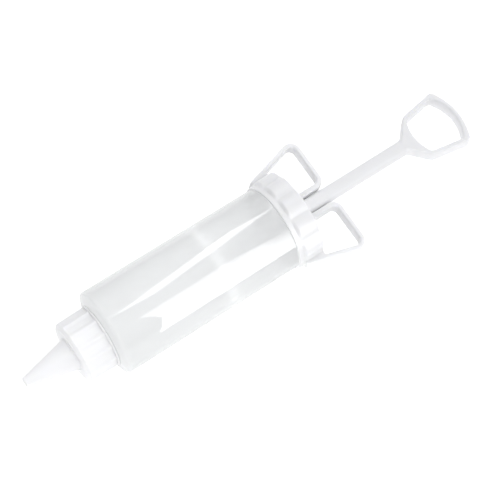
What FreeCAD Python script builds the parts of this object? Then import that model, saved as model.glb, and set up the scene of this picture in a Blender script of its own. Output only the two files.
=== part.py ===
import FreeCAD, Part
import os
import re

import Sketcher

# Filling syringe for meat: a frosted barrel with a screwed end cap that carries two finger
# loops, a piston on a rod with a D-shaped grip, and a conical nozzle under a ribbed ring nut.
#
# Every piece is drawn in the tool's own frame: the axis of the barrel is X, the nozzle points
# to -X, the finger loops lie in the XY plane, and x = 0 is the front of the end cap's petals.
# One placement, shared by all pieces, then rolls the tool about its axis until two petals of
# the cap touch the ground, and puts the middle of its length over the origin.

SIZES = {
    # barrel
    "barrel_radius": 30.0,
    "barrel_bore": 27.6,
    "shoulder_front": -139.6,
    "shoulder_slope": 2.4,
    "shoulder_inner": 23.4,
    "shoulder_round": 2.4,
    "front_wall": 2.3,
    "inner_slope": 6.0,
    "neck_front": -156.0,
    "neck_radius": 17.9,
    "neck_bore": 15.4,
    "cap_neck_front": 5.0,
    "cap_neck_back": 9.7,
    "cap_neck_radius": 28.8,
    # screw threads
    "thread_lead": 4.0,
    "thread_depth": 0.8,
    "thread_root": 2.0,
    "thread_sink": 0.5,
    "thread_crest": 1.0,
    "thread_gap": 0.2,
    "neck_thread_start": -153.4,
    "neck_thread_length": 9.0,
    "cap_thread_start": 5.4,
    "cap_thread_length": 2.0,
    # end cap
    "cap_length": 14.2,
    "cap_plate": 3.0,
    "petal_centre": 21.4,
    "petal_radius": 12.0,
    "petals": 12.0,
    "petal_edge": 1.1,
    "skirt_front": -4.4,
    "skirt_radius": 31.1,
    "skirt_seat_radius": 29.5,
    "skirt_seat_front": -4.5,
    "running_gap": 0.06,
    # finger loops of the end cap
    "loop_depth": 10.5,
    "loop_back": 43.7,
    "loop_bar": 3.2,
    "loop_inside": 6.1,
    "loop_inner_leg": 3.9,
    "loop_root": 33.8,
    "loop_spread": 46.0,
    "loop_outer_leg": 3.2,
    "loop_corner": 7.0,
    # cap gasket
    "cap_gasket_bore": 25.2,
    "cap_gasket_radius": 28.7,
    # piston
    "piston_front": -60.2,
    "piston_length": 9.0,
    "piston_rim": 2.6,
    "piston_radius": 27.2,
    "piston_core": 20.0,
    "seal_radius": 27.54,
    "seal_groove": 1.2,
    "nose_length": 10.0,
    "nose_base": 20.0,
    "nose_tip": 9.0,
    "hub_radius": 9.5,
    "hub_length": 2.0,
    # plunger rod with its grip
    "rod_radius": 5.5,
    "rod_head_radius": 7.6,
    "rod_head_length": 3.0,
    "grip_turn": -7.0,
    "grip_base": 110.6,
    "grip_base_half": 12.5,
    "grip_base_rise": 2.4,
    "grip_knee": 119.0,
    "grip_knee_half": 17.7,
    "grip_far": 147.6,
    "grip_far_half": 22.6,
    "grip_crown": 153.8,
    "grip_depth": 10.4,
    "grip_wall": 3.3,
    "grip_bar": 3.4,
    "grip_hole_front": 116.0,
    "grip_hole_rise": 3.4,
    "grip_root_round": 4.5,
    "grip_root_half": 4.4,
    # ring nut
    "nut_back": -140.2,
    "nut_front": -162.3,
    "nut_chamfer": 2.0,
    "nut_plate": 3.0,
    "nut_radius": 21.2,
    "nut_ribs": 14.0,
    "nut_rib_centre": 19.7,
    "nut_rib_radius": 2.4,
    "nut_rib_draft": 1.4,
    # nozzle and its gasket
    "nozzle_tip": -197.0,
    "nozzle_tip_radius": 3.4,
    "nozzle_tip_round": 1.1,
    "nozzle_outlet": 2.0,
    "nozzle_land": 10.0,
    "nozzle_base": 11.4,
    "nozzle_inlet": 9.6,
    "nozzle_flange": 16.6,
    "nozzle_flange_thick": 1.8,
    "nozzle_gasket_thick": 1.5,
    "nozzle_gasket_bore": 10.0,
    "nozzle_gasket_radius": 17.4,
    # how the tool lies
    "rest_roll": 15.0,
}

document = FreeCAD.newDocument("filling_syringe")
sheet = document.addObject("Spreadsheet::Sheet", "Sizes")
for row, (alias, size) in enumerate(SIZES.items(), start=1):
    sheet.set(f"A{row}", alias)
    sheet.set(f"B{row}", str(size))
    sheet.setAlias(f"B{row}", alias)
document.recompute()


# ---------------------------------------------------------------- helpers

def bound(formula):
    """Spell a formula over the sheet's names the way an expression in the document wants it."""
    def spell(word):
        return f"Sizes.{word.group()}" if word.group() in SIZES else word.group()
    return re.sub(r"[a-z][a-z_]+", spell, formula)


def bind(target, **formulas):
    """Bind properties of an object to formulas over the sheet."""
    for name, formula in formulas.items():
        target.setExpression(name.replace("__", "."), bound(formula))


def new_body(name, turn="rest_roll"):
    """A body in the common placement: rolled about X and lifted until the petals touch z = 0."""
    body = document.addObject("PartDesign::Body", name)
    body.Label = name
    body.Placement = FreeCAD.Placement(FreeCAD.Vector(), FreeCAD.Rotation(FreeCAD.Vector(1, 0, 0), 10))
    bind(body,
         Placement__Base__x="-(nozzle_tip + grip_crown) / 2",
         Placement__Base__z="petal_centre * cos(180 deg / petals) + petal_radius",
         Placement__Rotation__Angle=f"({turn}) * 1 deg")
    return body


def new_sketch(body, name, plane, offset=None):
    """A sketch on one of the body's own origin planes, moved along the plane's normal."""
    sketch = body.newObject("Sketcher::SketchObject", name)
    origin_plane = next(item for item in body.Origin.OriginFeatures if item.Role == plane)
    sketch.AttachmentSupport = [(origin_plane, "")]
    sketch.MapMode = "FlatFace"
    if offset:
        bind(sketch, AttachmentOffset__Base__z=offset)
    return sketch


def place_point(sketch, line, end, x_formula, y_formula):
    """Dimension one end of a line from the sketch's origin, each way, by a formula."""
    for kind, formula in (("DistanceX", x_formula), ("DistanceY", y_formula)):
        number = sketch.addConstraint(Sketcher.Constraint(kind, -1, 1, line, end, 1.0 + line))
        sketch.setExpression(f"Constraints[{number}]", bound(formula))


def draw_outline(sketch, points, arcs=None):
    """A closed outline through points given as formulas.

    arcs maps the number of a side to a point, as formulas, that this side passes through as an
    arc of a circle. Every other side is straight.
    """
    arcs = arcs or {}
    count = len(points)
    for index in range(count):
        following = (index + 1) % count
        start, end = (FreeCAD.Vector(number, number ** 2, 0) for number in (index, following))
        sketch.addGeometry(Part.LineSegment(start, end), index in arcs)
    for index in range(count):
        sketch.addConstraint(Sketcher.Constraint("Coincident", index, 2, (index + 1) % count, 1))
    for index, point in enumerate(points):
        place_point(sketch, index, 1, *point)
    document.recompute()
    for side, crest in arcs.items():
        marker = sketch.addGeometry(Part.Point(FreeCAD.Vector(side, 1, 0)), True)
        place_point(sketch, marker, 1, *crest)
        document.recompute()
        first, last = sketch.getPoint(side, 1), sketch.getPoint(side, 2)
        arc = sketch.addGeometry(Part.Arc(first, sketch.getPoint(marker, 1), last), False)
        begin = 1 if sketch.getPoint(arc, 1).distanceToPoint(first) < 0.01 else 2
        sketch.addConstraint(Sketcher.Constraint("Coincident", arc, begin, side, 1))
        sketch.addConstraint(Sketcher.Constraint("Coincident", arc, 3 - begin, side, 2))
        sketch.addConstraint(Sketcher.Constraint("PointOnObject", marker, 1, arc))
    document.recompute()


def draw_circle(sketch, x_formula, y_formula, radius_formula):
    """A circle with its centre and radius given as formulas."""
    sketch.addGeometry(Part.Circle(FreeCAD.Vector(1, 1, 0), FreeCAD.Vector(0, 0, 1), 1), False)
    place_point(sketch, 0, 3, x_formula, y_formula)
    number = sketch.addConstraint(Sketcher.Constraint("Radius", 0, 1.0))
    sketch.setExpression(f"Constraints[{number}]", bound(radius_formula))


def turn_section(body, name, points, arcs=None):
    """A solid of revolution about the tool's axis from (x, radius) points."""
    sketch = new_sketch(body, name + "_section", "XZ_Plane")
    draw_outline(sketch, points, arcs)
    revolution = body.newObject("PartDesign::Revolution", name)
    revolution.Profile = sketch
    revolution.ReferenceAxis = (sketch, ["H_Axis"])
    revolution.Angle = 360
    document.recompute()
    return revolution


def cut_section(body, name, points, arcs=None):
    """The same revolved section, taken away from the body."""
    sketch = new_sketch(body, name + "_section", "XZ_Plane")
    draw_outline(sketch, points, arcs)
    before = body.Tip.Shape.Volume
    groove = body.newObject("PartDesign::Groove", name)
    groove.Profile = sketch
    groove.ReferenceAxis = (sketch, ["H_Axis"])
    groove.Angle = 360
    document.recompute()
    require(body.Tip.Shape.Volume < before, f"{name} cuts nothing")
    return groove


def pad_outline(body, name, points, depth, arcs=None):
    """A plate of an outline in the XY plane, half its depth to each side."""
    sketch = new_sketch(body, name + "_outline", "XY_Plane")
    draw_outline(sketch, points, arcs)
    pad = body.newObject("PartDesign::Pad", name)
    pad.Profile = sketch
    pad.SideType = "Symmetric"
    bind(pad, Length=depth)
    document.recompute()
    return pad


def pocket_outline(body, name, points, depth, arcs=None):
    """An opening through a plate, of an outline in the XY plane."""
    sketch = new_sketch(body, name + "_outline", "XY_Plane")
    draw_outline(sketch, points, arcs)
    before = body.Tip.Shape.Volume
    pocket = body.newObject("PartDesign::Pocket", name)
    pocket.Profile = sketch
    pocket.SideType = "Symmetric"
    bind(pocket, Length=depth)
    document.recompute()
    require(body.Tip.Shape.Volume < before, f"{name} cuts nothing")
    return pocket


def repeat_round_axis(body, name, feature, axis_sketch, count):
    """Repeat a feature in equal steps round the normal of the sketch that it comes from."""
    pattern = body.newObject("PartDesign::PolarPattern", name)
    pattern.Originals = [feature]
    pattern.Axis = (axis_sketch, ["N_Axis"])
    pattern.Angle = 360
    bind(pattern, Occurrences=count)
    body.Tip = pattern
    document.recompute()
    return pattern


def mirror_feature(body, name, feature):
    """Repeat a feature on the other side of the tool's XZ plane."""
    mirror = body.newObject("PartDesign::Mirrored", name)
    mirror.Originals = [feature]
    mirror_plane = next(item for item in body.Origin.OriginFeatures if item.Role == "XZ_Plane")
    mirror.MirrorPlane = (mirror_plane, [""])
    body.Tip = mirror
    document.recompute()
    return mirror


def helical_rib(body, name, kind, start, length, root, grow="0"):
    """A trapezoidal screw thread about the tool's axis, added to a body or cut into it.

    root is the radius that the thread stands on. grow widens the section on every side, for
    the groove in which a mating thread runs.
    """
    middle = f"{start} + thread_root / 2"
    points = [
        (f"{middle} - thread_root / 2 - {grow}", f"{root} - thread_sink"),
        (f"{middle} - thread_crest / 2 - {grow}", f"{root} + thread_depth + {grow}"),
        (f"{middle} + thread_crest / 2 + {grow}", f"{root} + thread_depth + {grow}"),
        (f"{middle} + thread_root / 2 + {grow}", f"{root} - thread_sink"),
    ]
    sketch = new_sketch(body, name + "_section", "XZ_Plane")
    draw_outline(sketch, points)
    before = body.Tip.Shape.Volume
    helix = body.newObject(kind, name)
    helix.Profile = sketch
    helix.ReferenceAxis = (sketch, ["H_Axis"])
    helix.Mode = "pitch-height-angle"
    bind(helix, Pitch="thread_lead", Height=length)
    document.recompute()
    change = body.Tip.Shape.Volume - before
    require(change > 0 if kind == "PartDesign::AdditiveHelix" else change < 0, f"{name} changes nothing")
    return helix


def round_edges(body, name, edges, radius, kind="PartDesign::Fillet"):
    """Round or bevel some edges of the body's newest feature."""
    require(edges, f"{name} finds no edge")
    base = body.Tip
    dressing = body.newObject(kind, name)
    dressing.Base = (base, edges)
    size = "Size" if kind == "PartDesign::Chamfer" else "Radius"
    bind(dressing, **{size: radius})
    document.recompute()
    return dressing


def circle_edges(shape, axial, radius):
    """Names of the full circles about the X axis at one place along it, of one radius."""
    names = []
    for number, edge in enumerate(shape.Edges, start=1):
        curve = edge.Curve
        if isinstance(curve, Part.Circle) and abs(curve.Center.x - axial) < 0.01:
            if abs(curve.Radius - radius) < 0.01 and abs(curve.Center.y) + abs(curve.Center.z) < 0.01:
                names.append(f"Edge{number}")
    return names


def edges_where(shape, test):
    """Names of the edges whose ends and middle all pass a test."""
    names = []
    for number, edge in enumerate(shape.Edges, start=1):
        middle = edge.valueAt((edge.FirstParameter + edge.LastParameter) / 2)
        points = [vertex.Point for vertex in edge.Vertexes] + [middle]
        if all(test(point) for point in points):
            names.append(f"Edge{number}")
    return names


def upright_edges(shape, corners):
    """Names of the edges parallel to Z that stand on the given (x, y) corners."""
    names = []
    for x, y in corners:
        names += edges_where(shape, lambda point: abs(point.x - x) < 0.02 and abs(point.y - y) < 0.02)
    return names


def require(condition, message):
    """Stop with a message unless a condition holds."""
    if not condition:
        raise RuntimeError(message)


# ---------------------------------------------------------------- barrel

def make_barrel():
    """The tube: conical shoulder, threaded outlet neck in front, threaded neck behind."""
    body = new_body("barrel")
    turn_section(body, "barrel_wall", [
        ("neck_front", "neck_bore"),
        ("neck_front", "neck_radius"),
        ("shoulder_front", "neck_radius"),
        ("shoulder_front", "shoulder_inner"),
        ("shoulder_front + shoulder_slope", "barrel_radius"),
        ("skirt_seat_front", "barrel_radius"),
        ("skirt_seat_front", "skirt_seat_radius"),
        ("cap_neck_front", "skirt_seat_radius"),
        ("cap_neck_front", "cap_neck_radius"),
        ("cap_neck_back", "cap_neck_radius"),
        ("cap_neck_back", "barrel_bore"),
        ("shoulder_front + shoulder_slope + front_wall", "barrel_bore"),
        ("shoulder_front + front_wall", "barrel_bore - inner_slope"),
        ("shoulder_front + front_wall", "neck_bore"),
    ])
    shoulder_back = SIZES["shoulder_front"] + SIZES["shoulder_slope"]
    corner = circle_edges(body.Tip.Shape, shoulder_back, SIZES["barrel_radius"])
    round_edges(body, "shoulder_rounding", corner, "shoulder_round")
    helical_rib(body, "neck_thread", "PartDesign::AdditiveHelix",
                "neck_thread_start", "neck_thread_length", "neck_radius")
    helical_rib(body, "cap_thread", "PartDesign::AdditiveHelix",
                "cap_thread_start", "cap_thread_length", "cap_neck_radius")
    return body


# ---------------------------------------------------------------- end cap

def make_end_cap():
    """Screw cap with a skirt, petals to grip and two finger loops, in one moulding."""
    body = new_body("end_cap")
    turn_section(body, "cap_core", [
        ("skirt_front", "0"),
        ("skirt_front", "skirt_radius"),
        ("cap_length", "skirt_radius"),
        ("cap_length", "0"),
    ])
    petal_sketch = new_sketch(body, "petal_outline", "YZ_Plane")
    draw_circle(petal_sketch, "petal_centre", "0", "petal_radius")
    petal = body.newObject("PartDesign::Pad", "petal")
    petal.Profile = petal_sketch
    bind(petal, Length="cap_length")
    document.recompute()
    repeat_round_axis(body, "ring_of_petals", petal, petal_sketch, "petals")

    crest = "petal_centre + petal_radius"
    for name, rim, inward in (("front_bevel", "0", "1"), ("back_bevel", "cap_length", "-1")):
        cut_section(body, name, [
            (f"{rim} - {inward}", f"{crest} - petal_edge - 1"),
            (f"{rim} - {inward}", f"{crest} + 1"),
            (f"{rim} + {inward} * (petal_edge + 1)", f"{crest} + 1"),
        ])
    add_finger_loops(body)

    cut_section(body, "cap_inside", [
        ("skirt_front - 1", "0"),
        ("skirt_front - 1", "skirt_seat_radius + running_gap"),
        ("cap_neck_front + thread_gap", "skirt_seat_radius + running_gap"),
        ("cap_neck_front + thread_gap", "cap_neck_radius + thread_gap"),
        ("cap_length - cap_plate", "cap_neck_radius + thread_gap"),
        ("cap_length - cap_plate", "rod_radius + running_gap"),
        ("cap_length + 1", "rod_radius + running_gap"),
        ("cap_length + 1", "0"),
    ])
    helical_rib(body, "cap_thread_groove", "PartDesign::SubtractiveHelix",
                "cap_thread_start - thread_lead", "thread_lead + cap_thread_length + thread_lead / 4",
                "cap_neck_radius", grow="thread_gap")
    return body


def add_finger_loops(body):
    """Two trapezoidal finger loops, each a plate beside the petals and behind the cap with a hole."""
    lean = "(loop_spread - loop_root) / loop_back"
    loop = pad_outline(body, "finger_loop", [
        ("0", "skirt_radius - 0.1"),
        ("0", "loop_root"),
        ("loop_back", "loop_spread"),
        ("loop_back", "loop_inside"),
        ("cap_length - cap_plate / 2", "loop_inside"),
        ("cap_length - cap_plate / 2", "skirt_radius - 0.1"),
    ], "loop_depth")
    mirror_feature(body, "other_finger_loop", loop)

    hole_far = "loop_back - loop_bar"
    hole = pocket_outline(body, "finger_hole", [
        ("cap_length", "loop_inside + loop_inner_leg"),
        ("cap_length", f"loop_root + {lean} * cap_length - loop_outer_leg"),
        (hole_far, f"loop_root + {lean} * ({hole_far}) - loop_outer_leg"),
        (hole_far, "loop_inside + loop_inner_leg"),
    ], "loop_depth + 10")
    mirror_feature(body, "other_finger_hole", hole)

    slope = (SIZES["loop_spread"] - SIZES["loop_root"]) / SIZES["loop_back"]
    back, far = SIZES["loop_back"], SIZES["loop_back"] - SIZES["loop_bar"]
    outer_half = (SIZES["loop_spread"], SIZES["loop_inside"])
    inner_half = (SIZES["loop_root"] + slope * far - SIZES["loop_outer_leg"],
                  SIZES["loop_inside"] + SIZES["loop_inner_leg"])
    outer_corners = [(back, sign * half) for half in outer_half for sign in (1, -1)]
    inner_corners = [(far, sign * half) for half in inner_half for sign in (1, -1)]
    round_edges(body, "loop_corners", upright_edges(body.Tip.Shape, outer_corners), "loop_corner")
    round_edges(body, "hole_corners", upright_edges(body.Tip.Shape, inner_corners), "loop_corner - loop_bar")


def make_cap_gasket():
    """Flat silicone ring between the barrel's back rim and the cap."""
    body = new_body("cap_gasket")
    turn_section(body, "gasket_ring", [
        ("cap_neck_back", "cap_gasket_bore"),
        ("cap_neck_back", "cap_gasket_radius"),
        ("cap_length - cap_plate", "cap_gasket_radius"),
        ("cap_length - cap_plate", "cap_gasket_bore"),
    ])
    return body


# ---------------------------------------------------------------- piston and plunger

def make_piston_front():
    """Front half of the piston: nose, rim, and the core that the seal and the rod's head sit in."""
    body = new_body("piston_front")
    pocket_back = "piston_front + piston_length - piston_rim"
    turn_section(body, "piston_front_disc", [
        ("piston_front - nose_length", "0"),
        ("piston_front - nose_length", "nose_tip"),
        ("piston_front", "nose_base"),
        ("piston_front", "piston_radius"),
        ("piston_front + piston_rim", "piston_radius"),
        ("piston_front + piston_rim", "piston_core"),
        (pocket_back, "piston_core"),
        (pocket_back, "rod_head_radius + running_gap"),
        (f"{pocket_back} - rod_head_length - 2 * running_gap", "rod_head_radius + running_gap"),
        (f"{pocket_back} - rod_head_length - 2 * running_gap", "0"),
    ])
    tip = circle_edges(body.Tip.Shape, SIZES["piston_front"] - SIZES["nose_length"], SIZES["nose_tip"])
    round_edges(body, "nose_rounding", tip, "nose_tip / 3")
    return body


def make_piston_back():
    """Back half of the piston: a disc with a hub that keeps the rod's head in its pocket."""
    body = new_body("piston_back")
    front = "piston_front + piston_length - piston_rim"
    turn_section(body, "piston_back_disc", [
        (front, "rod_radius + running_gap"),
        (front, "piston_radius"),
        ("piston_front + piston_length", "piston_radius"),
        ("piston_front + piston_length", "hub_radius"),
        ("piston_front + piston_length + hub_length", "hub_radius"),
        ("piston_front + piston_length + hub_length", "rod_radius + running_gap"),
    ])
    return body


def make_piston_seal():
    """Silicone ring with two lips that wipe the barrel's bore."""
    body = new_body("piston_seal")
    front = "piston_front + piston_rim"
    back = "piston_front + piston_length - piston_rim"
    turn_section(body, "seal_ring", [
        (front, "piston_core"),
        (front, "seal_radius"),
        (f"({front} + {back}) / 2", "seal_radius - seal_groove"),
        (back, "seal_radius"),
        (back, "piston_core"),
    ])
    return body


def make_plunger_rod():
    """Round rod with a head that turns in the piston and a flat D-shaped grip behind."""
    body = new_body("plunger_rod", turn="rest_roll + grip_turn")
    head_back = "piston_front + piston_length - piston_rim - running_gap"
    turn_section(body, "rod", [
        (f"{head_back} - rod_head_length", "0"),
        (f"{head_back} - rod_head_length", "rod_head_radius"),
        (head_back, "rod_head_radius"),
        (head_back, "rod_radius"),
        ("grip_hole_front - grip_hole_rise / 2", "rod_radius"),
        ("grip_hole_front - grip_hole_rise / 2", "0"),
    ])
    root_start = "grip_base - grip_root_round"
    root_half = "grip_root_half + (1 - sqrt(0.5)) * grip_root_round"
    root_middle = f"{root_start} + sqrt(0.5) * grip_root_round"
    pad_outline(body, "grip", [
        (root_start, "grip_root_half"),
        ("grip_base", "grip_root_half + grip_root_round"),
        ("grip_base + grip_base_rise", "grip_base_half"),
        ("grip_knee", "grip_knee_half"),
        ("grip_far", "grip_far_half"),
        ("grip_far", "-grip_far_half"),
        ("grip_knee", "-grip_knee_half"),
        ("grip_base + grip_base_rise", "-grip_base_half"),
        ("grip_base", "-grip_root_half - grip_root_round"),
        (root_start, "-grip_root_half"),
    ], "grip_depth", arcs={
        0: (root_middle, root_half),
        4: ("grip_crown", "0"),
        8: (root_middle, f"-({root_half})"),
    })
    far, far_half = SIZES["grip_far"], SIZES["grip_far_half"]
    outer_corners = upright_edges(body.Tip.Shape, [(far, far_half), (far, -far_half)])
    round_edges(body, "grip_far_corners", outer_corners, "grip_wall")
    knee, knee_half = SIZES["grip_knee"], SIZES["grip_knee_half"]
    base, base_half = SIZES["grip_base"] + SIZES["grip_base_rise"], SIZES["grip_base_half"]
    shoulders = [(x, side * half) for x, half in ((knee, knee_half), (base, base_half)) for side in (1, -1)]
    round_edges(body, "grip_shoulders", upright_edges(body.Tip.Shape, shoulders), "grip_wall")

    lean = "(grip_far_half - grip_knee_half) / (grip_far - grip_knee)"
    hole_near = "grip_hole_front + grip_hole_rise"
    hole_far = "grip_far - grip_bar"
    hole_near_half = f"grip_knee_half + {lean} * ({hole_near} - grip_knee) - grip_wall"
    hole_far_half = f"grip_knee_half + {lean} * ({hole_far} - grip_knee) - grip_wall"
    pocket_outline(body, "grip_hole", [
        (hole_near, hole_near_half),
        (hole_far, hole_far_half),
        (hole_far, f"-({hole_far_half})"),
        (hole_near, f"-({hole_near_half})"),
    ], "grip_depth + 10", arcs={1: ("grip_crown - grip_bar", "0"), 3: ("grip_hole_front", "0")})
    slope = (far_half - knee_half) / (far - knee)
    corners = [(x, side * (knee_half + slope * (x - knee) - SIZES["grip_wall"]))
               for x in (SIZES["grip_hole_front"] + SIZES["grip_hole_rise"], far - SIZES["grip_bar"])
               for side in (1, -1)]
    round_edges(body, "grip_hole_corners", upright_edges(body.Tip.Shape, corners), "grip_wall")
    return body


# ---------------------------------------------------------------- ring nut and nozzle

def make_ring_nut():
    """Ribbed ring nut that presses the nozzle's flange on the neck."""
    body = new_body("ring_nut")
    turn_section(body, "nut_core", [
        ("nut_back", "0"),
        ("nut_back", "nut_radius"),
        ("nut_front + nut_chamfer", "nut_radius"),
        ("nut_front", "nut_radius - nut_chamfer"),
        ("nut_front", "0"),
    ])
    rib_sketch = new_sketch(body, "rib_outline", "YZ_Plane", offset="nut_back")
    draw_circle(rib_sketch, "nut_rib_centre", "0", "nut_rib_radius")
    rib = body.newObject("PartDesign::Pad", "rib")
    rib.Profile = rib_sketch
    rib.Reversed = True
    bind(rib, Length="nut_back - nut_front - nut_chamfer / 2", TaperAngle="-nut_rib_draft")
    document.recompute()
    repeat_round_axis(body, "ring_of_ribs", rib, rib_sketch, "nut_ribs")
    cut_section(body, "nut_inside", [
        ("nut_back + 1", "0"),
        ("nut_back + 1", "neck_radius + thread_gap"),
        ("nut_front + nut_plate", "neck_radius + thread_gap"),
        ("nut_front + nut_plate", "nozzle_base + running_gap"),
        ("nut_front - 1", "nozzle_base + running_gap"),
        ("nut_front - 1", "0"),
    ])
    helical_rib(body, "nut_thread_groove", "PartDesign::SubtractiveHelix",
                "neck_thread_start - thread_lead", "nut_back - neck_thread_start + 2 * thread_lead",
                "neck_radius", grow="thread_gap")
    return body


def make_nozzle():
    """Conical nozzle with a flange at its base and a straight outlet."""
    body = new_body("nozzle")
    flange_front = "nut_front + nut_plate"
    turn_section(body, "nozzle_wall", [
        (f"{flange_front} + nozzle_flange_thick", "nozzle_inlet"),
        (f"{flange_front} + nozzle_flange_thick", "nozzle_flange"),
        (flange_front, "nozzle_flange"),
        (flange_front, "nozzle_base"),
        ("nut_front", "nozzle_base"),
        ("nozzle_tip", "nozzle_tip_radius"),
        ("nozzle_tip", "nozzle_outlet"),
        ("nozzle_tip + nozzle_land", "nozzle_outlet"),
    ])
    tip = circle_edges(body.Tip.Shape, SIZES["nozzle_tip"], SIZES["nozzle_tip_radius"])
    round_edges(body, "tip_rounding", tip, "nozzle_tip_round")
    return body


def make_nozzle_gasket():
    """Flat silicone ring between the nozzle's flange and the end of the neck."""
    body = new_body("nozzle_gasket")
    turn_section(body, "nozzle_gasket_ring", [
        ("neck_front", "nozzle_gasket_bore"),
        ("neck_front", "nozzle_gasket_radius"),
        ("neck_front - nozzle_gasket_thick", "nozzle_gasket_radius"),
        ("neck_front - nozzle_gasket_thick", "nozzle_gasket_bore"),
    ])
    return body


# ---------------------------------------------------------------- build, check and write

bodies = [
    make_barrel(),
    make_end_cap(),
    make_cap_gasket(),
    make_piston_front(),
    make_piston_seal(),
    make_piston_back(),
    make_plunger_rod(),
    make_ring_nut(),
    make_nozzle(),
    make_nozzle_gasket(),
]
document.recompute()

for item in document.Objects:
    require("Invalid" not in item.State and "Error" not in item.State, f"{item.Name} failed: {item.State}")
for body in bodies:
    require(not body.Shape.isNull() and body.Shape.isValid(), f"{body.Label} has no valid shape")
    require(len(body.Shape.Solids) == 1, f"{body.Label} has {len(body.Shape.Solids)} solids")

os.makedirs("parts", exist_ok=True)
for body in bodies:
    body.Shape.exportStep(f"parts/{body.Label}.step")
    print(f"{body.Label}: {body.Shape.Volume:.0f} mm3, {body.Shape.BoundBox}")
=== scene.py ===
import math

import bmesh
import bpy
from mathutils import Matrix, Vector


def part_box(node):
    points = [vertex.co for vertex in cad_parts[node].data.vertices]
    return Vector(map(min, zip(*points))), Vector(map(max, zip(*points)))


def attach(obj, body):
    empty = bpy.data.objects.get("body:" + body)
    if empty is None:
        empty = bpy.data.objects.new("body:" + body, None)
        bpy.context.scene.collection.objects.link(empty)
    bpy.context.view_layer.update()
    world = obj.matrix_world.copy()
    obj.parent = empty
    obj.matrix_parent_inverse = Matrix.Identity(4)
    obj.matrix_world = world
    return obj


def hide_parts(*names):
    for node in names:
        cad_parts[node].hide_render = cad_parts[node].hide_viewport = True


# A hand-held filling syringe. Each piece is drawn in millimetres in the tool's own frame: X runs
# along the axis towards the grip, x = 0 is the front of the end cap's petals, and the finger loops
# lie in the XY plane. settle() then takes it to its place in the frame.

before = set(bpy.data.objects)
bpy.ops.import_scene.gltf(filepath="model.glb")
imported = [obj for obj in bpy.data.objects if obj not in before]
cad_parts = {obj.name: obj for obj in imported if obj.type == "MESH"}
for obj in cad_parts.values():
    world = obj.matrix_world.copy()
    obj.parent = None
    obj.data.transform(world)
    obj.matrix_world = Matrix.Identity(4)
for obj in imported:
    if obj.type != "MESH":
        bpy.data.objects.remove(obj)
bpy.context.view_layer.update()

MM = 0.001
SKIRT_FRONT = -4.4
TOOL_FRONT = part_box("end_cap")[0].x - SKIRT_FRONT * MM
AXIS_HEIGHT = (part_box("cap_gasket")[0].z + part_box("cap_gasket")[1].z) / 2
TOOL_ROLL = math.radians(15)
GRIP_ROLL = math.radians(8)

# The tool's main sizes and places, most of them shared by several pieces. The seat is the part of
# the barrel that the cap's skirt covers, and the rim behind it carries the cap's thread.
CLEARANCE = 0.06
WASHER = 1.5
BARREL_RADIUS = 30.0
BARREL_BORE = 27.6
SEAT_RADIUS = 29.5
RIM_RADIUS = 28.8
RIM_BACK = 9.7
CAP_THREAD_START = 6.4
NECK_RADIUS = 17.9
NECK_BORE = 15.4
NECK_FRONT = -156.0
NECK_THREAD_START = -152.4
NUT_FRONT = -162.3
NUT_LIP = 3.0
CONE_RADIUS = 11.4
CAP_LENGTH = 14.2
CAP_CREST = 33.4
THREAD_LEAD = 4.0
THREAD_DEPTH = 0.8
ROD_RADIUS = 5.5
ROD_HOLE = ROD_RADIUS + CLEARANCE

# The rod's head sits in a pocket in the piston's front half, and the front of its back half closes it.
HEAD_RADIUS = 7.6
HEAD_LENGTH = 3.0
PISTON_DISC = -53.8


# ---------------------------------------------------------------- outlines and sections

def rounded(corners, steps=5):
    """A closed outline of 2D points from corners (x, y, radius), each rounded by an arc."""
    points = []
    count = len(corners)
    for index, (x, y, radius) in enumerate(corners):
        corner = Vector((x, y))
        before = Vector(corners[index - 1][:2]) - corner
        after = Vector(corners[(index + 1) % count][:2]) - corner
        half = before.angle(after) / 2
        if radius == 0 or half > math.radians(89.5):
            points.append(corner)
            continue
        reach = min(radius / math.tan(half), 0.48 * before.length, 0.48 * after.length)
        middle = (before.normalized() + after.normalized()).normalized()
        centre = corner + middle * (reach / math.cos(half))
        start = corner + before.normalized() * reach - centre
        end = corner + after.normalized() * reach - centre
        for step in range(steps + 1):
            share = step / steps
            spoke = start.lerp(end, share).normalized() * start.length
            points.append(centre + spoke)
    return points


def across(outline, centre, angle):
    """Where the ray from a centre at an angle leaves a closed outline round it."""
    heading = Vector((math.cos(angle), math.sin(angle)))
    best = None
    for index, start in enumerate(outline):
        side = outline[(index + 1) % len(outline)] - start
        scale = heading.x * side.y - heading.y * side.x
        if abs(scale) < 1e-12:
            continue
        gap = start - centre
        reach = (gap.x * side.y - gap.y * side.x) / scale
        share = (gap.x * heading.y - gap.y * heading.x) / scale
        if reach > 0 and -0.002 <= share <= 1.002:
            best = max(reach, best or 0)
    return centre + heading * best


# ---------------------------------------------------------------- meshes

def piece_of_rings(name, rings, closed):
    """A mesh of rings of points with the same count, joined in order by quads."""
    mesh = bmesh.new()
    grid = [[mesh.verts.new(point) for point in ring] for ring in rings]
    count = len(rings[0])
    for index in range(len(rings) if closed else len(rings) - 1):
        first, second = grid[index], grid[(index + 1) % len(rings)]
        for step in range(count):
            following = (step + 1) % count
            mesh.faces.new((first[step], first[following], second[following], second[step]))
    if not closed:
        mesh.faces.new(grid[0])
        mesh.faces.new(grid[-1])
    bmesh.ops.remove_doubles(mesh, verts=mesh.verts, dist=1e-5)
    bmesh.ops.recalc_face_normals(mesh, faces=mesh.faces)
    data = bpy.data.meshes.new(name)
    mesh.to_mesh(data)
    mesh.free()
    return add_object(name, data)


def add_object(name, data):
    """A new object in the scene from the data of a mesh, a light or a camera."""
    thing = bpy.data.objects.new(name, data)
    bpy.context.scene.collection.objects.link(thing)
    return thing


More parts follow.
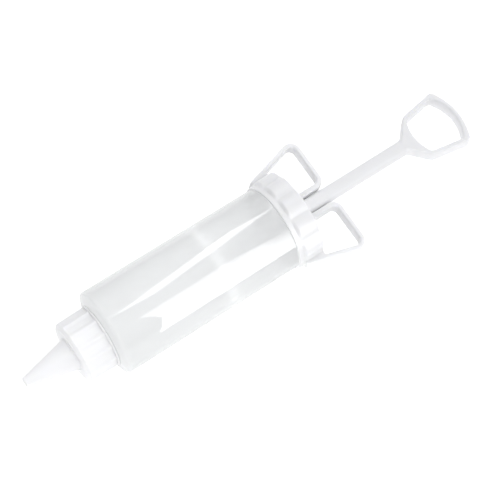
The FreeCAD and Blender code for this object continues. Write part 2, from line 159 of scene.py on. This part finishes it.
def flat_face(name, corners, material):
    """An object of one flat face through the corners."""
    mesh = bpy.data.meshes.new(name)
    mesh.from_pydata(corners, [], [tuple(range(len(corners)))])
    mesh.materials.append(material)
    return add_object(name, mesh)


def lathe(name, outline, steps=160, radius_at=None):
    """A ring turned about the X axis from a closed outline of (x, radius) points.

    radius_at(angle, x, radius) may change the radius round the axis, for ribs and petals.
    """
    rings = []
    for x, radius in outline:
        ring = []
        for step in range(steps):
            angle = 2 * math.pi * step / steps
            reach = radius_at(angle, x, radius) if radius_at else radius
            ring.append((x, reach * math.cos(angle), reach * math.sin(angle)))
        rings.append(ring)
    return piece_of_rings(name, rings, closed=True)


def solid_lathe(name, outline, steps=96):
    """A solid turned about the X axis from an open outline of (x, radius) points."""
    turns = [2 * math.pi * step / steps for step in range(steps)]
    rings = []
    for x, radius in outline:
        rings.append([(x, radius * math.cos(turn), radius * math.sin(turn)) for turn in turns])
    return piece_of_rings(name, rings, closed=False)


def thread(name, start, turns, root, height, width, steps=72):
    """A screw thread about the X axis, half as wide at its crest, that runs out at both ends.

    It stands outwards from its root radius, or inwards if its height is negative, and its foot is
    sunk a little into the wall that it will be merged with.
    """
    foot = root + math.copysign(0.4, -height)
    fading = 8
    total = int(turns * steps)
    rings = []
    for step in range(total + 1):
        angle = 2 * math.pi * step / steps
        strength = max(0.05, min(1.0, step / fading, (total - step) / fading))
        crest = foot + (root + height - foot) * strength
        x = start + THREAD_LEAD * step / steps
        ring = []
        for along, reach in ((-width / 2, foot), (-width / 4, crest), (width / 4, crest), (width / 2, foot)):
            ring.append((x + along, reach * math.cos(angle), reach * math.sin(angle)))
        rings.append(ring)
    return piece_of_rings(name, rings, closed=False)


def band(name, outer, inner, centre, depth, edge):
    """A flat loop between two closed outlines in the XY plane, with rounded edges."""
    centre = Vector(centre)
    turns = sorted(math.atan2(*(point - centre).yx) for point in outer + inner)
    turns = [turn for index, turn in enumerate(turns) if index == 0 or turn - turns[index - 1] > 1e-4]
    rings = []
    for turn in turns:
        near, far = across(inner, centre, turn), across(outer, centre, turn)
        width = (far - near).length
        heading = (far - near).normalized()
        corner = min(edge, 0.42 * width)
        corners = ((0, -depth / 2), (width, -depth / 2), (width, depth / 2), (0, depth / 2))
        section = rounded([(*place, corner) for place in corners], 4)
        rings.append([(*(near + heading * reach), height) for reach, height in section])
    return piece_of_rings(name, rings, closed=True)


def merge(piece, *others):
    """Join other closed pieces to a piece as one solid."""
    for other in others:
        union = piece.modifiers.new("union", "BOOLEAN")
        union.operation = "UNION"
        union.solver = "EXACT"
        union.object = other
    bpy.context.view_layer.update()
    graph = bpy.context.evaluated_depsgraph_get()
    merged = bpy.data.meshes.new_from_object(piece.evaluated_get(graph))
    piece.modifiers.clear()
    old, piece.data = piece.data, merged
    bpy.data.meshes.remove(old)
    for other in others:
        bpy.data.meshes.remove(other.data)
    return piece


def settle(piece, body, node, material, roll=TOOL_ROLL):
    """Take a finished piece to its place, smooth it, give it its body, slot and material, and hide its
    node's CAD part.
    """
    place = Matrix.Translation((TOOL_FRONT, 0, AXIS_HEIGHT)) @ Matrix.Rotation(roll, 4, "X")
    piece.data.transform(place @ Matrix.Scale(MM, 4))
    piece.data.shade_smooth()
    piece.data.set_sharp_from_angle(angle=math.radians(38))
    piece.data.materials.clear()
    piece.data.materials.append(material)
    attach(piece, body)
    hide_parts(node)


# ---------------------------------------------------------------- pieces

def make_barrel(material, clear):
    """Frosted tube with its shoulder, outlet neck and back rim, both threaded, and smooth inside."""
    shoulder, inside_front, seat_front, seat_back = -139.7, -137.3, SKIRT_FRONT - 0.1, 5.0
    tube = lathe("barrel_tube", rounded([
        (NECK_FRONT, NECK_BORE, 0.4),
        (NECK_FRONT, NECK_RADIUS, 0.5),
        (shoulder + 0.1, NECK_RADIUS, 0.8),
        (shoulder, 22.0, 0.05),
        (shoulder, 22.9, 0.3),
        (shoulder + 0.4, 24.2, 0.5),
        (shoulder + 2.5, BARREL_RADIUS, 2.4),
        (seat_front, BARREL_RADIUS, 0.1),
        (seat_front, SEAT_RADIUS, 0),
        (seat_back, SEAT_RADIUS, 0.3),
        (seat_back, RIM_RADIUS, 0.1),
        (RIM_BACK, RIM_RADIUS, 0.4),
        (RIM_BACK, BARREL_BORE, 0.4),
        (inside_front + 2.4, BARREL_BORE, 3.0),
        (inside_front, 21.6, 1.0),
        (inside_front, NECK_BORE, 1.0),
    ]), steps=192)
    neck_thread = thread("neck_thread", NECK_THREAD_START, 2.25, NECK_RADIUS, THREAD_DEPTH, 2.0)
    cap_thread = thread("cap_thread", CAP_THREAD_START, 0.5, RIM_RADIUS, 0.62, 2.0, steps=120)
    merge(tube, neck_thread, cap_thread)
    inner_slot = []
    for face in tube.data.polygons:
        x, y, z = face.center
        inner_slot.append(int(x > inside_front - 0.5 and math.hypot(y, z) < BARREL_BORE + 0.05))
    settle(tube, "barrel", "barrel", material)
    tube.data.materials.append(clear)
    tube.data.polygons.foreach_set("material_index", inner_slot)


def off_crest(angle, count):
    """How far round, in radians, an angle is from the nearest of a number of evenly spaced crests."""
    pitch = 2 * math.pi / count
    return abs((angle + pitch / 2) % pitch - pitch / 2)


def petal_reach(angle):
    """How far the cap's rim stands from the axis at an angle round it: arcs with softened valleys."""
    count, arc, soft = 12, 12.0, math.radians(0.7)
    arc_centre = CAP_CREST - arc
    half_pitch = math.pi / count
    to_valley = math.hypot(half_pitch - off_crest(angle, count), soft) - soft
    from_crest = half_pitch - to_valley
    return arc_centre * math.cos(from_crest) + math.sqrt(arc ** 2 - (arc_centre * math.sin(from_crest)) ** 2)


def make_finger_loops():
    """The two finger loops behind the cap: flat loops with rounded edges that widen towards the back."""
    back, bar, corner = 43.7, 3.2, 7.0
    front_edge, back_edge, near_axis = 33.8, 46.0, 6.1
    root_back, root_edge = 12.4, 30.3
    lean = (back_edge - front_edge) / back
    hole_back, hole_near_axis = back - bar, 10.0
    loops = []
    for side in (1, -1):
        outer = [
            (0.0, root_edge, 0.2), (0.0, front_edge, 1.2), (back, back_edge, corner),
            (back, near_axis, corner), (root_back, near_axis, 0.2), (root_back, root_edge, 0.2),
        ]
        inner = [
            (CAP_LENGTH, hole_near_axis, 0.3), (CAP_LENGTH, front_edge + lean * CAP_LENGTH - bar, 0.3),
            (hole_back, front_edge + lean * hole_back - bar, corner - bar),
            (hole_back, hole_near_axis, corner - bar),
        ]
        outer, inner = (rounded([(x, side * y, r) for x, y, r in shape], 8) for shape in (outer, inner))
        loops.append(band("finger_loop", outer, inner, centre=(30.0, side * 32.0), depth=10.5, edge=1.1))
    return loops


def make_end_cap(material):
    """Scalloped screw cap with its skirt and two finger loops, one moulding."""
    skirt, floor, thread_front, thread_root = 31.1, RIM_BACK + WASHER, 5.2, 29.86
    outline = rounded([
        (CAP_LENGTH, ROD_HOLE, 0.3),
        (CAP_LENGTH, CAP_CREST, 1.3),
        (1.0, CAP_CREST, 1.8),
        (-1.0, skirt + 0.02, 1.2),
        (SKIRT_FRONT, skirt, 0.8),
        (SKIRT_FRONT, SEAT_RADIUS + CLEARANCE, 0.05),
        (thread_front, SEAT_RADIUS + CLEARANCE, 0.2),
        (thread_front, thread_root, 0.1),
        (floor, thread_root, 0.5),
        (floor, ROD_HOLE, 0.3),
    ])

    def scallop(angle, x, radius):
        if radius <= skirt + 0.01:
            return radius
        return skirt + (petal_reach(angle) - skirt) * (radius - skirt) / (CAP_CREST - skirt)

    cap = lathe("cap_shell", outline, steps=288, radius_at=scallop)
    loops = make_finger_loops()
    thread_start = CAP_THREAD_START + THREAD_LEAD / 2
    inner_thread = thread("cap_inner_thread", thread_start, 0.5, thread_root, -0.7, 1.6, steps=120)
    settle(merge(cap, *loops, inner_thread), "cap", "end_cap", material)


def make_ring_nut(material):
    """Nut with a bevelled front, ribs that grow towards its back, and a smooth ring there."""
    back, valley, crest, ring, bevel = -139.8, 20.9, 22.1, 1.3, 2.0
    bore, lip_back = NECK_RADIUS + 1.0, NUT_FRONT + NUT_LIP
    outline = rounded([
        (back, bore, 0.3),
        (back, crest, 0.12),
        (back - ring, crest, 0.3),
        (back - ring, valley, 0.3),
        (NUT_FRONT + bevel, valley, 0.6),
        (NUT_FRONT, valley - bevel, 0.5),
        (NUT_FRONT, CONE_RADIUS + CLEARANCE, 0.4),
        (lip_back, CONE_RADIUS + CLEARANCE, 0.2),
        (lip_back, bore, 0.3),
    ])

    def ribbed(angle, x, radius):
        if radius < bore + 0.4 or x < NUT_FRONT + 0.8 or x > back - ring - 0.05:
            return radius
        rise = (crest - valley) * (0.6 + 0.4 * (x - NUT_FRONT) / (back - NUT_FRONT))
        from_rib = off_crest(angle, 14) / math.radians(5.2)
        return radius + rise * math.exp(-1.2 * from_rib ** 2)

    nut = lathe("nut_shell", outline, steps=280, radius_at=ribbed)
    thread_start = NECK_THREAD_START + THREAD_LEAD / 2
    inner_thread = thread("nut_inner_thread", thread_start, 1.75, bore, -THREAD_DEPTH, 1.6)
    settle(merge(nut, inner_thread), "nut", "ring_nut", material)


def make_nozzle(material):
    """Conical nozzle with its flange and a straight outlet."""
    flange_front, flange_back, flange_radius = NUT_FRONT + NUT_LIP, NECK_FRONT - WASHER, 16.6
    tip, tip_radius, outlet_radius, outlet_length = -197.0, 3.4, 2.0, 10.0
    cone = lathe("nozzle_cone", rounded([
        (flange_back, 9.6, 0.4),
        (flange_back, flange_radius, 0.4),
        (flange_front, flange_radius, 0.4),
        (flange_front, CONE_RADIUS, 0.3),
        (NUT_FRONT, CONE_RADIUS, 0.0),
        (tip, tip_radius, 1.1),
        (tip, outlet_radius, 0.3),
        (tip + outlet_length, outlet_radius, 1.0),
    ]), steps=128)
    settle(cone, "nozzle_carriage", "nozzle", material)


def make_gaskets(material):
    """Flat silicone rings under the nozzle's flange and under the cap."""
    for name, body, node, front, bore, radius in (
            ("nozzle_washer", "nozzle_carriage", "nozzle_gasket", NECK_FRONT - WASHER, 10.0, 17.4),
            ("cap_washer", "cap_carriage", "cap_gasket", RIM_BACK, 25.2, 28.7)):
        back = front + WASHER
        corners = [(front, bore, 0.3), (front, radius, 0.3), (back, radius, 0.3), (back, bore, 0.3)]
        settle(lathe(name, rounded(corners, 3)), body, node, material)


def make_piston(nose_material, rubber, disc_material):
    """Two plastic halves with a lipped silicone ring between them."""
    length, rim, radius, core = 9.0, 2.6, BARREL_BORE - 0.4, 20.0
    back = PISTON_DISC + rim
    front = back - length
    ring_front = front + rim
    tip, tip_radius = front - 10.0, 9.0
    pocket, pocket_radius = PISTON_DISC - HEAD_LENGTH - 2 * CLEARANCE, HEAD_RADIUS + CLEARANCE
    section = rounded([
        (tip, -tip_radius, 3.0), (tip, tip_radius, 3.0), (front, core, 0.6), (front, radius, 0.5),
        (ring_front, radius, 0.3), (ring_front, core, 0.2),
        (PISTON_DISC, core, 0.2), (PISTON_DISC, pocket_radius, 0.2),
        (pocket, pocket_radius, 0.2), (pocket, -pocket_radius, 0.2),
    ])
    nose = [(tip, 0.0)] + [point for point in section if point[1] > 0] + [(pocket, 0.0)]
    settle(solid_lathe("piston_nose", nose), "piston", "piston_front", nose_material)
    lip = BARREL_BORE - CLEARANCE
    groove = lip - 1.2
    ring = lathe("piston_ring", rounded([
        (ring_front, core, 0.1), (ring_front, lip, 0.4), ((ring_front + PISTON_DISC) / 2, groove, 0.8),
        (PISTON_DISC, lip, 0.4), (PISTON_DISC, core, 0.1),
    ]))
    settle(ring, "piston", "piston_seal", rubber)
    boss_back, boss_radius = back + 2.0, 9.5
    disc = lathe("piston_disc", rounded([
        (PISTON_DISC, ROD_HOLE, 0.2), (PISTON_DISC, radius, 0.3), (back, radius, 0.5),
        (back, boss_radius, 0.8), (boss_back, boss_radius, 0.5), (boss_back, ROD_HOLE, 0.2),
    ]))
    settle(disc, "piston", "piston_back", disc_material)


def make_rod(grip_depth):
    """Round rod with its head. Its other end flares out flat into the root of the grip."""
    steps, flare_steps, rod_power, grip_power = 64, 10, 2.0, 7.0
    flare_start, flare_round, flare_angle = 104.67, 7.0, math.radians(47.3)
    head_back = PISTON_DISC - CLEARANCE
    head_front = head_back - HEAD_LENGTH
    profile = [
        (head_front, 0.01), (head_front, HEAD_RADIUS - 0.4), (head_front + 0.4, HEAD_RADIUS),
        (head_back - 0.4, HEAD_RADIUS), (head_back, HEAD_RADIUS - 0.3), (head_back, ROD_RADIUS),
    ]
    sections = [(x, radius, radius, rod_power) for x, radius in profile]
    for step in range(flare_steps + 1):
        share = step / flare_steps
        turned = flare_angle * share
        x = flare_start + flare_round * math.sin(turned)
        half_width = ROD_RADIUS + flare_round * (1 - math.cos(turned))
        half_depth = ROD_RADIUS + (grip_depth / 2 - ROD_RADIUS) * share
        sections.append((x, half_width, half_depth, rod_power + (grip_power - rod_power) * share ** 2))
    sections.append((112.9, 11.1, grip_depth / 2, grip_power))
    rings = []
    for x, half_width, half_depth, power in sections:
        ring = []
        for step in range(steps):
            turn = 2 * math.pi * (step + 0.5) / steps
            y = math.copysign(abs(math.cos(turn)) ** (2 / power), math.cos(turn)) * half_width
            z = math.copysign(abs(math.sin(turn)) ** (2 / power), math.sin(turn)) * half_depth
            ring.append((x, y, z))
        rings.append(ring)
    return piece_of_rings("plunger", rings, closed=False)


def grip_outline(root, middle, far, crown):
    """A D through three corners (x, y, radius) and their mirror images, its far side bowed to a crown."""
    one_side = [root, middle, far]
    other_side = [(x, -y, radius) for x, y, radius in reversed(one_side)]
    bow = []
    for share in (0.6, 0.2, -0.2, -0.6):
        bow.append((crown - (crown - far[0]) * share ** 2, far[1] * share, 44.0))
    return rounded([*one_side, *bow, *other_side], 7)


def make_plunger(material):
    """Round rod with its head and a flat D-shaped grip that flares out of it, one moulding."""
    depth, crown, far_bar = 10.4, 153.8, 3.4
    outer = grip_outline((110.6, 8.6, 3.0), (119.0, 17.7, 6.5), (147.6, 22.6, 3.3), crown)
    hole = grip_outline((116.0, 5.0, 40.0), (119.4, 14.47, 3.3), (144.2, 18.72, 3.3), crown - far_bar)
    grip = band("grip", outer, hole, centre=(132.0, 0.0), depth=depth, edge=1.4)
    settle(merge(make_rod(depth), grip), "plunger", "plunger_rod", material, roll=GRIP_ROLL)


# ---------------------------------------------------------------- camera and studio

def node_tools(tree):
    """Short ways to add a node to a tree, with its settings and inputs by name, and to join sockets."""
    def add(kind, **values):
        node = tree.nodes.new(kind)
        for key, value in values.items():
            spoken = key.replace("_", " ")
            match = next((item for item in node.inputs if item.name.lower() == spoken), None)
            if match:
                match.default_value = value
            else:
                setattr(node, key, value)
        return node

    def join(source, target):
        tree.links.new(source, target)

    return add, join


def new_material(name):
    """An empty node material with its output, and the tools to add and join its nodes."""
    material = bpy.data.materials.new(name)
    material.use_nodes = True
    material.node_tree.nodes.clear()
    add, join = node_tools(material.node_tree)
    return material, add, join, add("ShaderNodeOutputMaterial")


def make_camera():
    """A long lens about one metre away, above the nozzle's side of the tool."""
    swing, tilt, lean, distance = -32.62, 31.586, -3.327, 0.9907
    aim = Vector((-0.00424, -0.00449, AXIS_HEIGHT))
    turn = Matrix.Identity(4)
    for degrees, axis in ((swing, "Z"), (tilt, "X"), (lean, "Z")):
        turn = turn @ Matrix.Rotation(math.radians(degrees), 4, axis)
    camera = add_object("camera", bpy.data.cameras.new("camera"))
    camera.matrix_world = Matrix.Translation(aim) @ turn @ Matrix.Translation((0, 0, distance))
    camera.data.sensor_width = 36.0
    camera.data.lens = 108.0
    camera.data.clip_start = 0.05
    bpy.context.scene.camera = camera


def make_floor():
    """A pale table top that glows evenly round the tool, as on a light table, and less far away."""
    half, near, far = 2.0, 0.55, 1.1
    near_glow, far_glow = 0.5, 0.1
    material, add, join, output = new_material("floor")
    shader = add("ShaderNodeBsdfPrincipled", roughness=0.9, specular_ior_level=0.1)
    shader.inputs["Base Color"].default_value = (0.8, 0.8, 0.8, 1)
    shader.inputs["Emission Color"].default_value = (1, 1, 1, 1)
    place = add("ShaderNodeTexCoord")
    away = add("ShaderNodeVectorMath", operation="LENGTH")
    glow = add("ShaderNodeMapRange", from_min=near, from_max=far, to_min=near_glow, to_max=far_glow)
    join(place.outputs["Object"], away.inputs[0])
    join(away.outputs["Value"], glow.inputs["Value"])
    join(glow.outputs["Result"], shader.inputs["Emission Strength"])
    join(shader.outputs["BSDF"], output.inputs["Surface"])
    corners = [(-half, -half, 0), (half, -half, 0), (half, half, 0), (-half, half, 0)]
    floor = flat_face("floor", corners, material)


def make_world(low, high, horizon):
    """A pale surround, dimmer on the nozzle's side of the tool and towards the horizon.

    Its strength is one ramp along X times one up from the horizon, both over the direction looked in.
    """
    world = bpy.data.worlds.new("studio")
    world.use_nodes = True
    add, join = node_tools(world.node_tree)
    background = world.node_tree.nodes["Background"]
    background.inputs["Color"].default_value = (0.985, 0.99, 1.0, 1)
    place = add("ShaderNodeTexCoord")
    axes = add("ShaderNodeSeparateXYZ")
    join(place.outputs["Generated"], axes.inputs["Vector"])
    along = add("ShaderNodeMapRange", from_min=-0.9, from_max=0.5, to_min=low, to_max=high)
    upward = add("ShaderNodeMapRange", from_min=0.0, from_max=0.6, to_min=horizon, to_max=1.0)
    strength = add("ShaderNodeMath", operation="MULTIPLY")
    join(axes.outputs["X"], along.inputs["Value"])
    join(axes.outputs["Z"], upward.inputs["Value"])
    join(along.outputs["Result"], strength.inputs[0])
    join(upward.outputs["Result"], strength.inputs[1])
    join(strength.outputs["Value"], background.inputs["Strength"])
    bpy.context.scene.world = world


def make_softbox(name, centre, target, width, height, radiance, along=(1, 0, 0), diffuse=True, gloss=True):
    """A rectangular light at a centre, facing a target, with its width along a direction.

    Matt surfaces see it only with diffuse, and glossy ones only with gloss.
    """
    data = bpy.data.lights.new(name, "AREA")
    data.shape = "RECTANGLE"
    data.size = width
    data.size_y = height
    data.energy = radiance * width * height * math.pi
    light = add_object(name, data)
    back = (Vector(centre) - Vector(target)).normalized()
    side = Vector(along)
    side = (side - side.project(back)).normalized()
    turn = Matrix((side, back.cross(side), back)).transposed()
    light.matrix_world = Matrix.Translation(centre) @ turn.to_4x4()
    light.visible_diffuse = light.visible_transmission = diffuse
    light.visible_glossy = gloss


def make_panel(distance, outline, foot, head):
    """An upright glowing panel on the tool's -Y side, from an outline of (x, z), that only reflections see.

    Its glow goes from foot to head on the way up, and behind the finger loops it fades to a share.
    """
    foot_height, head_height = 0.05, 0.2
    fade_start, fade_end, fade_share = 0.064, 0.088, 0.35
    material, add, join, output = new_material("panel")
    place = add("ShaderNodeTexCoord")
    axes = add("ShaderNodeSeparateXYZ")
    glow = add("ShaderNodeMapRange", from_min=foot_height, from_max=head_height, to_min=foot, to_max=head)
    fade = add("ShaderNodeMapRange", from_min=fade_start, from_max=fade_end, to_min=1.0, to_max=fade_share)
    strength = add("ShaderNodeMath", operation="MULTIPLY")
    shader = add("ShaderNodeEmission")
    join(place.outputs["Object"], axes.inputs["Vector"])
    join(axes.outputs["Z"], glow.inputs["Value"])
    join(axes.outputs["X"], fade.inputs["Value"])
    join(glow.outputs["Result"], strength.inputs[0])
    join(fade.outputs["Result"], strength.inputs[1])
    join(strength.outputs["Value"], shader.inputs["Strength"])
    join(shader.outputs["Emission"], output.inputs["Surface"])
    panel = flat_face("panel", [(x, -distance, z) for x, z in outline], material)
    panel.visible_camera = panel.visible_diffuse = panel.visible_shadow = False
    panel.visible_transmission = panel.visible_volume_scatter = False


def make_lights():
    """Weak fill from the side and near both ends of the tool, and a panel and a strip for the gloss."""
    centre = (0, 0, AXIS_HEIGHT)
    make_softbox("side", (0.1, -0.65, 0.5), centre, 0.9, 0.6, 0.25, gloss=False)
    panel_outline = [
        (-0.075, 0.205), (0.03, 0.205), (0.075, 0.165), (0.5, 0.165),
        (0.5, 0.02), (-0.071, 0.02), (-0.063, 0.1),
    ]
    make_panel(0.14, panel_outline, foot=12.0, head=5.0)
    strip_aim, strip_heading = (0.018, 0.02, AXIS_HEIGHT), (0.21, 0.257, 0)
    make_softbox("strip", (0.118, 0.075, 0.66), strip_aim, 0.42, 0.11, 7.0, strip_heading, diffuse=False)
    make_softbox("front", (-0.20, -0.07, 0.17), (-0.16, 0, 0.03), 0.1, 0.1, 2.0, gloss=False)
    make_softbox("back", (0.24, 0.12, 0.30), (0.16, 0, 0.03), 0.16, 0.16, 0.6, gloss=False)


# ---------------------------------------------------------------- materials

def moulded_plastic(name, color, roughness, depth=0.25, painted_glow=0.0, painted_shade_level=1.0, gloss=0.35):
    """Smooth white moulded plastic: light scatters a little way in, and the gloss is slightly uneven.

    depth is the share of light that scatters, painted_glow a painted glow that the plastic gives off though
    it is no lamp, and painted_shade_level the brightness of the painted shade that an ambient occlusion node
    lays in the piece's own narrow hollows.
    """
    scatter_reach, painted_shade_reach, fleck = 0.002, 0.03, 0.965
    material, add, join, output = new_material(name)
    shader = add("ShaderNodeBsdfPrincipled", ior=1.48, specular_ior_level=gloss, coat_weight=0.1,
                 coat_roughness=0.15, subsurface_weight=depth, subsurface_scale=scatter_reach)
    shader.inputs["Subsurface Radius"].default_value = (1.0, 1.0, 1.15)
    # Painted glow: the plastic gives off light of its own, though it is no lamp.
    shader.inputs["Emission Color"].default_value = (1, 1, 1, 1)
    shader.inputs["Emission Strength"].default_value = painted_glow
    place = add("ShaderNodeTexCoord")
    flow = add("ShaderNodeTexNoise", scale=38.0, detail=3.0)
    join(place.outputs["Object"], flow.inputs["Vector"])
    tint = add("ShaderNodeMix", data_type="RGBA")
    tint.inputs["A"].default_value = (*color, 1)
    tint.inputs["B"].default_value = (*(part * fleck for part in color), 1)
    join(flow.outputs["Fac"], tint.inputs["Factor"])
    # Painted shade: an ambient occlusion node darkens the base colour in the piece's own narrow hollows.
    corners = add("ShaderNodeAmbientOcclusion", samples=8, only_local=True, distance=painted_shade_reach)
    painted_shade = add("ShaderNodeMix", data_type="RGBA")
    painted_shade.inputs["A"].default_value = (painted_shade_level, painted_shade_level, painted_shade_level, 1)
    join(corners.outputs["AO"], painted_shade.inputs["Factor"])
    join(tint.outputs["Result"], painted_shade.inputs["B"])
    join(painted_shade.outputs["Result"], shader.inputs["Base Color"])
    smooth, rough = roughness - 0.05, roughness + 0.06
    sheen = add("ShaderNodeMapRange", from_min=0.3, from_max=0.7, to_min=smooth, to_max=rough)
    join(flow.outputs["Fac"], sheen.inputs["Value"])
    join(sheen.outputs["Result"], shader.inputs["Roughness"])
    grain = add("ShaderNodeTexNoise", scale=1400.0, detail=2.0)
    join(place.outputs["Object"], grain.inputs["Vector"])
    bump = add("ShaderNodeBump", strength=0.04, distance=0.0002)
    join(grain.outputs["Fac"], bump.inputs["Height"])
    join(bump.outputs["Normal"], shader.inputs["Normal"])
    join(shader.outputs["BSDF"], output.inputs["Surface"])
    return material


def film(add, join, base, ior, roughness):
    """A clear gloss over a base shader, seen only from the outside of the face."""
    gloss = add("ShaderNodeBsdfGlossy", roughness=roughness)
    fresnel = add("ShaderNodeFresnel", ior=ior)
    side = add("ShaderNodeNewGeometry")
    outside = add("ShaderNodeMath", operation="SUBTRACT")
    amount = add("ShaderNodeMath", operation="MULTIPLY")
    skin = add("ShaderNodeMixShader")
    outside.inputs[0].default_value = 1.0
    join(side.outputs["Backfacing"], outside.inputs[1])
    join(fresnel.outputs["Fac"], amount.inputs[0])
    join(outside.outputs["Value"], amount.inputs[1])
    join(amount.outputs["Value"], skin.inputs["Fac"])
    join(base, skin.inputs[1])
    join(gloss.outputs["BSDF"], skin.inputs[2])
    return skin.outputs["Shader"]


def frosted_plastic(name):
    """Milky plastic wall: part of the light goes straight through, the rest spreads, under a clear gloss."""
    color, clear_color = (0.945, 0.951, 0.952, 1), (0.975, 0.985, 0.985, 1)
    least_milk, most_milk, passed_share = 0.83, 0.88, 0.42
    material, add, join, output = new_material(name)
    place = add("ShaderNodeTexCoord")
    flow = add("ShaderNodeTexNoise", scale=22.0, detail=3.0)
    join(place.outputs["Object"], flow.inputs["Vector"])
    facing = add("ShaderNodeBsdfDiffuse", color=color)
    passed = add("ShaderNodeBsdfTranslucent", color=color)
    clear = add("ShaderNodeBsdfTransparent", color=clear_color)
    milk = add("ShaderNodeMixShader", fac=passed_share)
    join(facing.outputs["BSDF"], milk.inputs[1])
    join(passed.outputs["BSDF"], milk.inputs[2])
    wall = add("ShaderNodeMixShader")
    share = add("ShaderNodeMapRange", from_min=0.3, from_max=0.7, to_min=least_milk, to_max=most_milk)
    join(flow.outputs["Fac"], share.inputs["Value"])
    join(share.outputs["Result"], wall.inputs["Fac"])
    join(clear.outputs["BSDF"], wall.inputs[1])
    join(milk.outputs["Shader"], wall.inputs[2])
    join(film(add, join, wall.outputs["Shader"], ior=1.5, roughness=0.035), output.inputs["Surface"])
    return material


def clear_plastic(name):
    """The inner face of the milky wall: it only adds a faint gloss."""
    material, add, join, output = new_material(name)
    clear = add("ShaderNodeBsdfTransparent")
    place = add("ShaderNodeTexCoord")
    flow = add("ShaderNodeTexNoise", scale=30.0)
    tint = add("ShaderNodeMapRange", to_min=0.96, to_max=1.0)
    join(place.outputs["Object"], flow.inputs["Vector"])
    join(flow.outputs["Fac"], tint.inputs["Value"])
    join(tint.outputs["Result"], clear.inputs["Color"])
    join(film(add, join, clear.outputs["BSDF"], ior=1.2, roughness=0.15), output.inputs["Surface"])
    return material


make_camera()
make_floor()
make_world(low=0.55, high=1.16, horizon=0.4)
make_lights()
bpy.context.scene.view_settings.view_transform = "Standard"

# Painted shade darkens the hollows of the white plastic.
white = moulded_plastic("white_plastic", (0.9, 0.9, 0.912), roughness=0.4, painted_shade_level=0.5)
# The piston's plastics glow with painted light, a stand-in for light that reaches them through the frosted
# barrel.
nose_white = moulded_plastic("piston_nose_plastic", (0.95, 0.95, 0.95), roughness=0.4, painted_glow=0.1)
soft_white = moulded_plastic("piston_plastic", (0.97, 0.97, 0.97), roughness=0.4, painted_glow=0.34)
# Painted shade darkens the hollows of the rod plastic.
rod_white = moulded_plastic("rod_plastic", (0.88, 0.88, 0.892), roughness=0.42, painted_shade_level=0.6, gloss=0.2)
nozzle_white = moulded_plastic("nozzle_plastic", (0.9, 0.9, 0.91), roughness=0.36)
# Both silicones glow with painted light, a stand-in for light that reaches them inside the tool.
silicone = moulded_plastic("silicone", (0.95, 0.95, 0.94), roughness=0.5, depth=0.5, painted_glow=0.22)
seal_silicone = moulded_plastic("seal_silicone", (0.97, 0.97, 0.965), roughness=0.5, depth=0.5, painted_glow=0.34)
make_barrel(frosted_plastic("frosted_barrel"), clear_plastic("barrel_inside"))
make_end_cap(white)
make_ring_nut(white)
make_nozzle(nozzle_white)
make_gaskets(silicone)
make_piston(nose_white, seal_silicone, soft_white)
make_plunger(rod_white)
